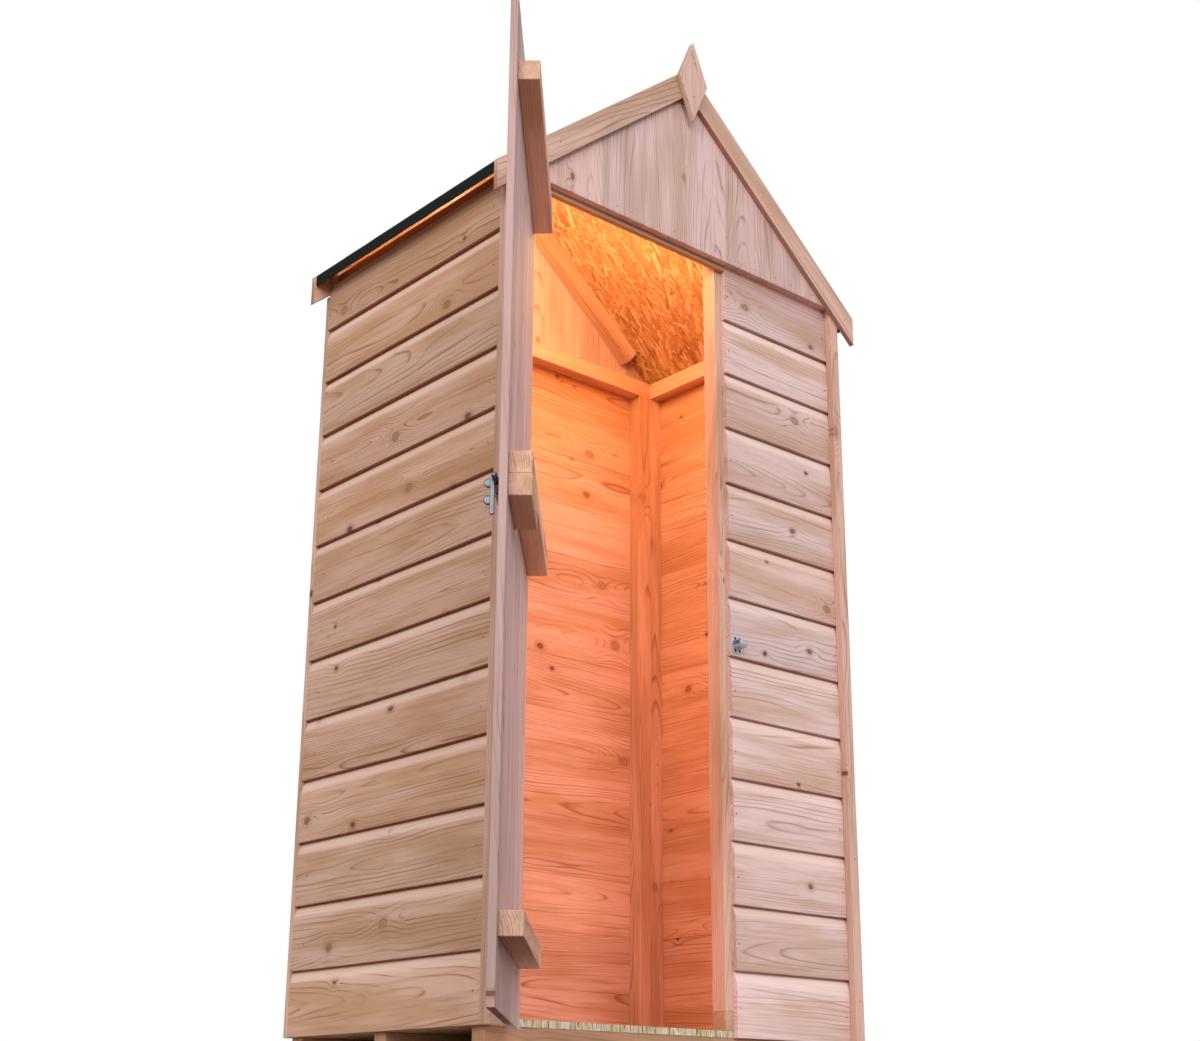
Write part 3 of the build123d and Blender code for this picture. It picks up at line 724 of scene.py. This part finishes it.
# felt: a thin sheet bent over the ridge and down both eaves
M = Mesh()
outer = []
for i in range(-24, 25):
    x = i / 24.0 * 480.0
    outer.append((x, roof_z(x, 0.15)))
outer[24] = (0.0, RIDGE - 0.9)
rim = [(483.2, roof_z(480.0, 0.15) - 2.6), (484.8, roof_z(480.0, 0.15) - 5.4), (484.9, 1564.0), (484.7, 1556.0), (484.8, 1549.3)]
rin = [(482.5, 1549.2), (482.2, 1556.0), (482.1, 1564.0), (482.0, roof_z(482.0, FELT_DZ) - 0.6)]
outer = [(-x, z) for x, z in rim[::-1]] + outer + rim
inner = rin[:]
for i in range(24, -25, -2):
    x = i / 24.0 * 480.0
    inner.append((x, roof_z(x, FELT_DZ)))
inner += [(-x, z) for x, z in rin[::-1]]
ring = outer + inner
ny = 40
bases = []
for j in range(ny + 1):
    y = YG + (YB - YG) * j / ny
    pts = []
    for k, (x, z) in enumerate(ring):
        dz = dx = 0.0
        if k < len(outer):
            q = noise.noise((x * 0.012, y * 0.014, 3.0)) * 0.6 + noise.noise((x * 0.03, y * 0.035, 9.0)) * 0.3
            dz = -abs(q)
            if z < 1572:
                dz = 0.0
        if z < 1560:
            dz += 1.1 * noise.noise((x, y * 0.02, 5.0)) + 0.5
        if z < 1570:
            dx = (0.7 * noise.noise((1.0, y * 0.02, 5.0)) - 0.5) * (1 if x > 0 else -1) * (1570 - z) / 20.0
        pts.append((x + dx, y, z + dz))
    bases.append(M.add(pts, [(0, 0, 0)] * len(pts), (0.5, 0.5, 0.5)))
k = len(ring)
for a, b in zip(bases, bases[1:]):
    for i in range(k):
        j = (i + 1) % k
        M.f.append((a + i, a + j, b + j, b + i))
M.f.append(tuple(bases[0] + i for i in range(k))[::-1])
M.f.append(tuple(bases[-1] + i for i in range(k)))
M.build("felt_sheet", M_FELT, "shed", ("roof_felt",), sharp=50.0)

for end, y0, y1 in (("front", YG - 12, YG), ("back", YB, YB + 12)):
    for side, s in (("left", -1.0), ("right", 1.0)):
        M = Mesh()
        g = Grain(random.Random(340 + int(s) + (10 if end == "back" else 0)), False, 48)
        poly = ccw([(s * 0.1, roof_z(0, 0)), (s * 488, roof_z(488, 0)), (s * 488, roof_z(488, 62)), (s * 0.1, roof_z(0, 62))])
        # painted shade along the lower part and underside of each bargeboard
        flat_piece(M, poly, y0, y1, g, lambda q, u, v, g=g, s=s, y0=y0: g.at(s * u * C40 - v * S40, s * u * S40 + v * C40 - RIDGE * C40 + 48, q - y0), 0.9,
                   painted_light=lambda u, v: 0.85 if v < roof_z(u, 40) else 0.0)
        M.build("bargeboard_%s_%s_board" % (end, side), M_TRIM, "shed", ("bargeboard_%s_%s" % (end, side),))
for end, y0, y1 in (("front", YG - 26, YG - 12), ("back", YB + 12, YB + 26)):
    M = Mesh()
    g = Grain(random.Random(360 if end == "front" else 361), False, 77)
    flat_piece(M, ccw([(0, 2035), (38.5, 1944), (0, 1853), (-38.5, 1944)]), y0, y1, g,
               lambda q, u, v, g=g, y0=y0: g.at(v, u + 38.5, q - y0), 1.2)
    M.build("finial_%s_board" % end, M_TRIM, "shed", ("finial_" + end,))

# ------------------------------------------------------------------- door
PX, PY = -423.4, YF - 30.7
V0 = 13.4
V1, V2 = V0 + 12.0, V0 + 46.0
ANG = math.radians(-132.0)
CA, SA = math.cos(ANG), math.sin(ANG)


def dp(u, v, z):
    return (PX + u * CA - v * SA, PY + u * SA + v * CA, z)


M = Mesh()
rnd = random.Random(401)
U0, U1, NB = 4.0, 540.4, 5
W = (U1 - U0) / NB
for i in range(NB):
    a0, a1 = U0 + W * i, U0 + W * (i + 1)
    g = Grain(rnd, True, W)
    c = 2.2
    prof = [(a0 + c, V0), (a1 - c, V0), (a1, V0 + c), (a1, V1 - 0.5), (a1 - 0.7, V1), (a0 + 0.7, V1), (a0, V1 - 0.5), (a0, V0 + c)]
    if i == 0:
        prof[0], prof[7] = (a0 + 0.8, V0), (a0, V0 + 0.8)
    if i == NB - 1:
        prof[1], prof[2] = (a1 - 0.8, V0), (a1, V0 + 0.8)
    # the free edge of the last board is darkened through the same per-vertex value
    prism(M, prof, 34.0, 1558.0, lambda s, u, v: dp(u, v, s), g, cham=0.6, n=10, wave=0.15, seed=400 + i,
          painted_light=lambda u, v: 0.42 if u > U1 - 1.0 else 0.0,
          gmap=lambda s, u, v, g=g, a0=a0: g.at(s, u - a0, v - V0))
M.build("door_board_panel", M_DOOR, "door", ("door_boards",))

for i, (node, u0, z) in enumerate((("door_ledge_bottom", 40.0, 126.0), ("door_ledge_middle", 40.0, 774.0),
                                   ("door_ledge_top", 40.0, 1420.0), ("door_bolt_block", 370.0, 740.0))):
    M = Mesh()
    g = Grain(random.Random(420 + i), False, 34)
    g.pb, g.pc = (0.11, 0.14, 0.12, 0.16)[i], (0.004, -0.012, 0.006, 0.010)[i]
    g.kb = g.kc = 0.004
    top = z + (33.9 if node == "door_bolt_block" else 34.0)
    prism(M, rect(V1 + 0.1, V2, z, top, 1.0), u0, 519.0, lambda s, u, v: dp(s, u, v), g, cham=1.0, n=8, wave=0.3 if z != 740.0 else 0.0, seed=430 + i,
          gmap=lambda s, u, v, g=g, z=z: g.at(s, u - V1, v - z))
    M.build(node + "_batten", M_FRAME, "door", (node,))


# --------------------------------------------------------------- hardware
def lathe(M, prof, origin, axis, seg=20, tone=(0.5, 0.5, 0.5)):
    """Turns (r, h) points about axis from origin; r = 0 closes an end."""
    axis = Vector(axis).normalized()
    side = axis.orthogonal().normalized()
    other = axis.cross(side)
    bases = []
    for r, h in prof:
        pts = []
        for i in range(seg):
            t = 2 * math.pi * i / seg
            p = Vector(origin) + axis * h + (side * math.cos(t) + other * math.sin(t)) * r
            pts.append(tuple(p))
        bases.append(M.add(pts, [(0, 0, 0)] * seg, tone))
    for a, b in zip(bases, bases[1:]):
        for i in range(seg):
            j = (i + 1) % seg
            M.f.append((a + i, a + j, b + j, b + i))
    M.f.append(tuple(bases[0] + i for i in range(seg))[::-1])
    M.f.append(tuple(bases[-1] + i for i in range(seg)))


def screw(M, origin, axis, r=4.0, h=1.1, spin=0.3):
    """A pan head with a cross recess."""
    axis = Vector(axis).normalized()
    side = axis.orthogonal().normalized()
    other = axis.cross(side)
    side, other = (side * math.cos(spin) + other * math.sin(spin), other * math.cos(spin) - side * math.sin(spin))
    seg, rings = 32, [(1.0, -0.6), (1.0, 0.35), (0.93, 0.62), (0.78, 0.82), (0.60, 0.93), (0.42, 0.98), (0.24, 1.0), (0.10, 1.0)]
    bases = []
    for q, z in rings:
        pts = []
        for i in range(seg):
            t = 2 * math.pi * i / seg
            x, y = q * math.cos(t), q * math.sin(t)
            dz = z
            if max(abs(x), abs(y)) < 0.62 and min(abs(x), abs(y)) < 0.13 and z > 0.9:
                dz = z - 0.75
            pts.append(tuple(Vector(origin) + axis * (dz * h) + (side * x + other * y) * r))
        bases.append(M.add(pts, [(0, 0, 0)] * seg, (0.5, 0.5, 0.5)))
    for a, b in zip(bases, bases[1:]):
        for i in range(seg):
            j = (i + 1) % seg
            M.f.append((a + i, a + j, b + j, b + i))
    M.f.append(tuple(bases[0] + i for i in range(seg))[::-1])
    M.f.append(tuple(bases[-1] + i for i in range(seg)))


def nail(M, origin, axis, r=2.0, h=0.35):
    lathe(M, [(r, -0.5), (r, h * 0.5), (r * 0.86, h), (r * 0.3, h * 1.05)], origin, axis, 12)


DOOR_OUT = (SA, -CA, 0.0)      # out of the door's outer face
DOOR_IN = (-SA, CA, 0.0)


def arc(cx, cy, r, a0, a1, n=6):
    return [(cx + r * math.cos(math.radians(a0 + (a1 - a0) * i / n)), cy + r * math.sin(math.radians(a0 + (a1 - a0) * i / n))) for i in range(n + 1)]


def zinc_grain():
    return Grain(random.Random(1))


for tag, hz in (("bottom", 143.0), ("top", 1437.0)):
    M = Mesh()
    out = arc(253.0, 0.0, 7.0, -80, 80, 8) + [(24.0, 14.4)] + arc(16.0, 8.0, 7.0, 60, 90, 3) + [(1.0, 15.0), (1.0, -15.0)] + arc(16.0, -8.0, 7.0, -90, -60, 3) + [(24.0, -14.4)]
    gz = zinc_grain()
    prism(M, out, V0 - 2.0, V0, lambda s, u, v, hz=hz: dp(u, s, hz + v), gz, cham=0.3)
    prism(M, rect(1.0, 4.0, 2.6, V0 - 1.1, 0.3), hz - 15, hz + 15, lambda s, u, v: dp(u, v, s), gz, cham=0.3)
    lathe(M, [(2.8, -15), (3.35, -14.5), (3.35, 14.5), (2.8, 15)], dp(0, 0, hz), (0, 0, 1), 24)
    for u, v in ((14, 9.5), (14, -9.5), (70, 0), (135, 0), (195, 0), (244, 0)):
        screw(M, dp(u, V0 - 2.0, hz + v), DOOR_OUT, r=3.6, h=1.0, spin=u * 0.1)
    M.build("strap_hinge_%s_blade" % tag, M_ZINC, "door", ("hinge_strap_" + tag,))

    M = Mesh()
    prism(M, rect(-449.0, -427.0, hz - 45, hz + 45, 2.5), YG - 2.0, YG, lambda s, u, v: (u, s, v), gz, cham=0.3)
    for za, zb in ((hz - 45.0, hz - 15.5), (hz + 15.5, hz + 45.0)):
        prism(M, rect(-429.0, PX, YG - 4.4, YG - 0.1, 0.4), za, zb, lambda s, u, v: (u, v, s), gz, cham=0.3)
        lathe(M, [(2.8, 0), (3.35, 0.5), (3.35, 29.0), (2.8, 29.5)], (PX, PY, za), (0, 0, 1), 24)
    lathe(M, [(1.3, -45.2), (2.0, -44.6), (2.0, 44.6), (1.3, 45.2)], (PX, PY, hz), (0, 0, 1), 16)
    for x, z in ((-438, -36), (-438, -12), (-438, 12), (-438, 36)):
        screw(M, (x, YG - 2.0, hz + z), (0, -1, 0), r=3.6, h=1.0, spin=z)
    M.build("strap_hinge_%s_leaf" % tag, M_ZINC, "shed", ("hinge_leaf_" + tag,))

# sliding bolt
BZ, RV = 774.0, 4.4


def staple(M, place, q0, q1, foot, axis, ro, ri, leg, toes):
    """A strip bent round a rod: (h, d) outline between stations q0 and q1.

    foot is the depth of the plate it stands on, axis that of the rod."""
    d = 1.0 if foot > axis else -1.0

    def line(r, z, t):
        pts = [(-toes, z), (-leg - t, z), (-leg, z - 1.2 * d), (-leg, axis)] if toes else [(-leg, z), (-leg, axis)]
        pts += [(-r * math.cos(math.radians(k)), axis - d * r * math.sin(math.radians(k))) for k in range(12, 180, 12)]
        return pts + [(-h, w) for h, w in pts[:4 if toes else 2][::-1]]
    a = line(ro, foot - (1.2 * d if toes else 0.0), 1.0)
    b = line(ri, foot - (0.05 * d if toes else 0.0), 0.2)
    k = ri / ro
    b = [(h if abs(h) > leg + 0.5 else h * (k if i not in (0, len(b) - 1) or not toes else 1.0), w) for i, (h, w) in enumerate(b)]
    n = len(a)
    rows = [(M.add([place(q, h, w) for h, w in a], [(0, 0, 0)] * n, (0.5,) * 3),
             M.add([place(q, h, w) for h, w in b], [(0, 0, 0)] * n, (0.5,) * 3)) for q in (q0, q1)]
    (p0, i0), (p1, i1) = rows
    for i in range(n - 1):
        M.f += [(p0 + i, p0 + i + 1, p1 + i + 1, p1 + i), (i0 + i + 1, i0 + i, i1 + i, i1 + i + 1),
                (p0 + i + 1, p0 + i, i0 + i, i0 + i + 1), (p1 + i, p1 + i + 1, i1 + i + 1, i1 + i)]
    M.f += [(p0, p1, i1, i0), (p0 + n - 1, i0 + n - 1, i1 + n - 1, p1 + n - 1)]


M = Mesh()
gz = zinc_grain()
prism(M, rect(430.0, 490.0, BZ - 16, BZ + 16, 3.0), V0 - 2.0, V0, lambda s, u, v: dp(u, s, v), gz, cham=0.3)
for ua in (434.0, 477.0):
    staple(M, lambda q, h, w: dp(q, w, BZ + h), ua, ua + 10.0, V0 - 2.0, RV, 6.9, 5.5, 6.9, 11.5)
for u in (453.0, 468.0):
    for dz in (-11.5, 11.5):
        screw(M, dp(u, V0 - 2.0, BZ + dz), DOOR_OUT, r=3.2, h=0.9, spin=u)
M.build("bolt_back_plate", M_ZINC_SHADED_COPY, "door", ("bolt_plate",))

M = Mesh()
along = (CA, SA, 0.0)
lathe(M, [(3.2, 385.0), (4.4, 386.2), (4.4, 511.0), (3.9, 512.8), (2.6, 513.8), (1.0, 514.0)],
      (PX - RV * SA, PY + RV * CA, BZ), along, 24)
# the grip hangs ahead of the guides: a flat bar with two round lugs
bar = [(-2.5, BZ + 3.0), (-2.5, BZ - 50.0)] + [(1.0 + 3.5 * math.cos(math.radians(t)), BZ - 51.5 + 3.5 * math.sin(math.radians(t))) for t in range(180, 361, 20)] + [(4.5, BZ + 3.0), (3.0, BZ + 4.0), (-1.0, BZ + 4.0)]
prism(M, bar, 492.4, 497.6, lambda s, u, v: dp(s, u, v), gz, cham=0.7)
for zk in (BZ - 7.0, BZ - 33.0):
    lathe(M, [(6.4, 0.0), (7.3, 0.6), (7.5, 1.6), (7.3, 2.6), (6.4, 3.2), (3.2, 3.2)], dp(493.2, -4.2, zk), along, 28)
M.build("bolt_sliding_rod", M_ZINC_SHADED_COPY, "bolt", ("bolt_rod",))

# keep
M = Mesh()
ky = PY + RV
X0 = 122.0
prism(M, rect(X0 + 1.0, X0 + 28.0, BZ - 16.5, BZ + 16.5, 3.0), YF - 14.0, YF - 12.0, lambda s, u, v: (u, s, v), gz, cham=0.3)
staple(M, lambda q, h, w: (q, w, BZ + h), X0 + 3.0, X0 + 24.0, YF - 14.0, ky, 7.0, 5.8, 7.0, 8.4)
S = Mesh()
for x in (X0 + 9.0, X0 + 21.0):
    for dz in (-12.2, 12.2):
        screw(S, (x, YF - 14.0, BZ + dz), (0, -1, 0), r=2.9, h=0.9, spin=x)
M.build("bolt_keep_loop", M_ZINC_LIT_COPY, "shed", ("bolt_keep",))
S.build("bolt_keep_screws", M_SCREW, "shed")

# nails and screws
M = Mesh()
rnd = random.Random(500)
for k in range(13):
    z = 44 + 118 * k + 50
    if z > 1560:
        z = 1530
    for sgn in (-1, 1):
        for y in (YF + 17, 247.0):
            nail(M, (sgn * 450.0, y + rnd.uniform(-2, 2), z + rnd.uniform(-4, 4)), (sgn, 0, 0), 1.5, 0.3)
    for x in (121.0 + 8, 421.0 - 2):
        nail(M, (x + rnd.uniform(-2, 2), YF - 12.0, z + rnd.uniform(-4, 4)), (0, -1, 0), 1.5, 0.3)
    for x in (-421.0, 421.0):
        nail(M, (x * 0.96 + rnd.uniform(-2, 2), 276.0, z + rnd.uniform(-4, 4)), (0, 1, 0), 1.5, 0.3)
for i in range(6):
    for x in (-438.5, 438.5):
        nail(M, (x + rnd.uniform(-1, 1), YG, 120 + i * 270 + rnd.uniform(-8, 8)), (0, -1, 0), 1.5, 0.3)
        nail(M, (x + rnd.uniform(-1, 1), 299.5, 120 + i * 255 + rnd.uniform(-8, 8)), (0, 1, 0), 1.5, 0.3)
for i in range(8):
    x = -450 + 112.5 * i + 56
    nail(M, (x - 20 + rnd.uniform(-3, 3), YG, 1592 + rnd.uniform(-2, 2)), (0, -1, 0), 1.5, 0.3)
    nail(M, (x + 22 + rnd.uniform(-3, 3), YG, 1592 + rnd.uniform(-2, 2)), (0, -1, 0), 1.5, 0.3)
for s in (-1, 1):
    for x in (70, 210, 340, 460):
        for y, ax in ((YG - 12, -1), (YB + 12, 1)):
            nail(M, (s * (x + rnd.uniform(-4, 4)), y, roof_z(x, 31) + rnd.uniform(-3, 3)), (0, ax, 0), 1.5, 0.3)
for z in (1905, 1985):
    nail(M, (rnd.uniform(-2, 2), YG - 26, z), (0, -1, 0), 1.6, 0.35)
    nail(M, (rnd.uniform(-2, 2), YB + 25.6, z), (0, 1, 0), 1.6, 0.35)
M.build("wall_nails", M_NAIL, "shed")

M = Mesh()
for i in range(9):
    y = YG + 14 + (YB - YG - 28) * i / 8.0
    for s in (-1, 1):
        lathe(M, [(4.2, -0.6), (4.2, 0.5), (3.6, 0.9), (1.2, 1.0)], (s * 460.0, y, roof_z(460.0, 0.6)), (s * S40, 0, C40), 16)
for s in (-1, 1):
    for i in range(7):
        x = 30 + i * 65
        for y in (YG + 9, YB - 9):
            lathe(M, [(4.2, -0.6), (4.2, 0.5), (3.6, 0.9), (1.2, 1.0)], (s * x, y, roof_z(x, 0.6)), (s * S40, 0, C40), 16)
M.build("felt_clout_nails", M_NAIL, "shed")

M = Mesh()
for zs in (143.0, 757.0, 791.0, 1437.0):
    for i in range(NB):
        uc = U0 + W * (i + 0.5)
        for du in (-28, 28):
            if zs in (757.0, 791.0) and du > 0 or zs == 757.0 and uc + du < 380:
                continue
            u = min(max(uc + du, 50), 510)
            if zs in (143.0, 1437.0) and u < 262:
                continue
            screw(M, dp(u, V0, zs + (4 if du > 0 else -4)), DOOR_OUT, r=2.6, h=0.35, spin=u)
M.build("door_ledge_screws", M_NAIL, "door")

# ------------------------------------------------------- stage and lights
cam_data = bpy.data.cameras.new("camera")
cam = bpy.data.objects.new("camera", cam_data)
bpy.context.scene.collection.objects.link(cam)
cam_data.sensor_width = 36.0
cam_data.sensor_fit = "HORIZONTAL"
cam_data.lens = 51.72
cam_data.shift_x = -0.01127
cam_data.shift_y = 0.05246
cam_data.clip_start, cam_data.clip_end = 0.05, 60.0
AZ, EL, ROLL = 0.725, 0.308, 0.004
AZ, EL, ROLL = 0.724651, 0.308213, 0.003779
d = Vector((math.sin(AZ) * math.cos(EL), math.cos(AZ) * math.cos(EL), math.sin(EL)))
r = d.cross(Vector((0, 0, 1))).normalized()
u = r.cross(d)
r2 = r * math.cos(ROLL) + u * math.sin(ROLL)
u2 = u * math.cos(ROLL) - r * math.sin(ROLL)
rot = Matrix((r2, u2, -d)).transposed().to_4x4()
CAM = Vector(((-14.458397 - 3.788) * 0.118, (-19.026964 + 0.03) * 0.118 - 0.2875, -1.366654 * 0.118 + 0.044))
cam.matrix_world = Matrix.Translation(CAM) @ rot
bpy.context.scene.camera = cam

# pale floor: the photo looks up from just under ground level, so it starts
# where it leaves the bottom of the frame
fwd = Vector((math.sin(AZ), math.cos(AZ), 0.0))
sid = Vector((math.cos(AZ), -math.sin(AZ), 0.0))
me = bpy.data.meshes.new("floor")
c0 = Vector((CAM.x, CAM.y, 0.0)) + fwd * 2.66
pts = [c0 - sid * 7.0, c0 + sid * 7.0, c0 + sid * 9.0 + fwd * 12.0, c0 - sid * 9.0 + fwd * 12.0]
me.from_pydata([tuple(p) for p in pts], [], [(0, 1, 2, 3)])
floor = bpy.data.objects.new("floor", me)
bpy.context.scene.collection.objects.link(floor)
fm = bpy.data.materials.new("floor_pale")
fm.use_nodes = True
fb = fm.node_tree.nodes["Principled BSDF"]
fb.inputs["Base Color"].default_value = (0.56, 0.56, 0.56, 1.0)
fb.inputs["Roughness"].default_value = 0.9
me.materials.append(fm)

world = bpy.data.worlds.new("studio")
bpy.context.scene.world = world
world.use_nodes = True
wt = world.node_tree
wt.nodes.clear()
wo = wt.nodes.new("ShaderNodeOutputWorld")
bg_cam = wt.nodes.new("ShaderNodeBackground")
bg_cam.inputs["Color"].default_value = (1, 1, 1, 1)
bg_cam.inputs["Strength"].default_value = 1.0
bg_light = wt.nodes.new("ShaderNodeBackground")
tcw = wt.nodes.new("ShaderNodeTexCoord")
sep = wt.nodes.new("ShaderNodeSeparateXYZ")
rampw = wt.nodes.new("ShaderNodeValToRGB")
mr = wt.nodes.new("ShaderNodeMapRange")
mr.inputs[1].default_value = -1.0
mr.inputs[2].default_value = 1.0
wt.links.new(tcw.outputs["Generated"], sep.inputs[0])
wt.links.new(sep.outputs[2], mr.inputs[0])
wt.links.new(mr.outputs[0], rampw.inputs[0])
els = rampw.color_ramp.elements
els[0].position, els[0].color = 0.0, (0.16, 0.085, 0.05, 1)
els[1].position, els[1].color = 1.0, (0.95, 0.96, 1.0, 1)
for p, c in ((0.40, (0.22, 0.13, 0.085, 1)), (0.52, (0.58, 0.55, 0.52, 1)), (0.70, (0.72, 0.71, 0.70, 1))):
    e = els.new(p)
    e.color = c
wt.links.new(rampw.outputs[0], bg_light.inputs["Color"])
bg_light.inputs["Strength"].default_value = 0.80
lp = wt.nodes.new("ShaderNodeLightPath")
mx = wt.nodes.new("ShaderNodeMixShader")
wt.links.new(lp.outputs["Is Camera Ray"], mx.inputs[0])
wt.links.new(bg_light.outputs[0], mx.inputs[1])
wt.links.new(bg_cam.outputs[0], mx.inputs[2])
wt.links.new(mx.outputs[0], wo.inputs[0])


def area(name, loc, target, size, power, color):
    ld = bpy.data.lights.new(name, "AREA")
    ld.shape = "SQUARE"
    ld.size = size
    ld.energy = power
    ld.color = color
    ob = bpy.data.objects.new(name, ld)
    bpy.context.scene.collection.objects.link(ob)
    ob.location = loc
    ob.rotation_mode = "QUATERNION"
    ob.rotation_quaternion = (Vector(target) - Vector(loc)).to_track_quat("-Z", "Y")
    return ob


def point(name, loc, radius, power, color):
    ld = bpy.data.lights.new(name, "POINT")
    ld.shadow_soft_size = radius
    ld.energy = power
    ld.color = color
    ob = bpy.data.objects.new(name, ld)
    bpy.context.scene.collection.objects.link(ob)
    ob.location = loc
    return ob


area("key_soft", (-2.4, -5.4, 3.6), (0, 0, 1.1), 2.6, 176.0, (0.90, 0.95, 1.01))
area("fill_soft", (-5.7, -3.3, 3.0), (0, 0, 1.0), 3.0, 162.0, (1.06, 0.99, 0.91))
area("right_soft", (3.4, -4.6, 2.4), (0, 0, 1.0), 2.4, 24.0, (0.86, 0.95, 1.12))
point("inside_lamp", (0.0, -0.13, 1.735), 0.03, 6.2, (1.0, 0.60, 0.28))
point("inside_gable", (-0.16, 0.15, 1.69), 0.03, 2.1, (1.0, 0.82, 0.42))
area("inside_down", (0.10, -0.10, 1.60), (0.12, 0.0, 0.3), 0.22, 2.6, (1.0, 0.325, 0.08))
for i, (z, p) in enumerate(((0.80, 1.02), (0.52, 0.86), (0.26, 0.80))):
    point("inside_glow_%d" % i, (0.085, -0.11, z), 0.06, p, (1.0, 0.33 - 0.002 * i, 0.11 + 0.045 * i))

scene = bpy.context.scene
scene.view_settings.view_transform = "Standard"
scene.view_settings.look = "None"
